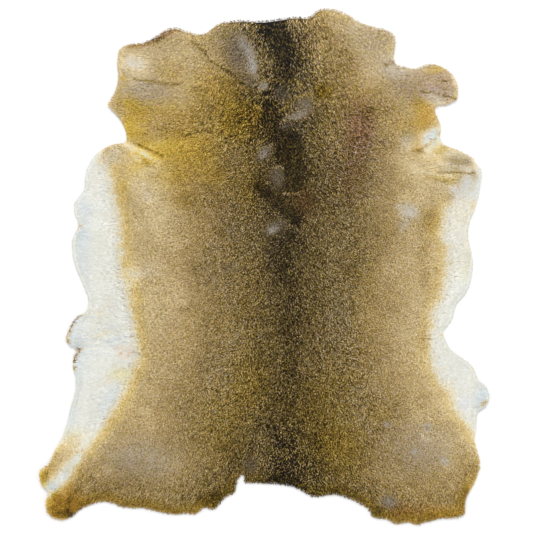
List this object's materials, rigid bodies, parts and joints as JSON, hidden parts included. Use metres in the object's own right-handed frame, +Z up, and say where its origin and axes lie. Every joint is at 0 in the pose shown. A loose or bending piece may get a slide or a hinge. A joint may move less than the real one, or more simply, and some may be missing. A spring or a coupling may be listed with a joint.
{
  "type": "reindeer hide",
  "caption": "Tanned animal hide lying flat with its coat up: ragged natural outline, brown back with a dark spine stripe, white belly flanks.",
  "frame": {"origin": "on the floor under the middle of the hide's box", "axes": "+Z up out of the coat, +Y along the back line towards the neck, +X to the right seen from above with the neck at the top"},
  "size_m": [1.0352, 1.1902, 0.0155],
  "materials": {
    "coat": "short dense hair, golden brown ticked with dark brown, white on the flanks, matt with a slight sheen",
    "skin": "undyed tanned flesh side, matt suede"
  },
  "bodies": {
    "root": {"hide": "coat"}
  },
  "joints": []
}
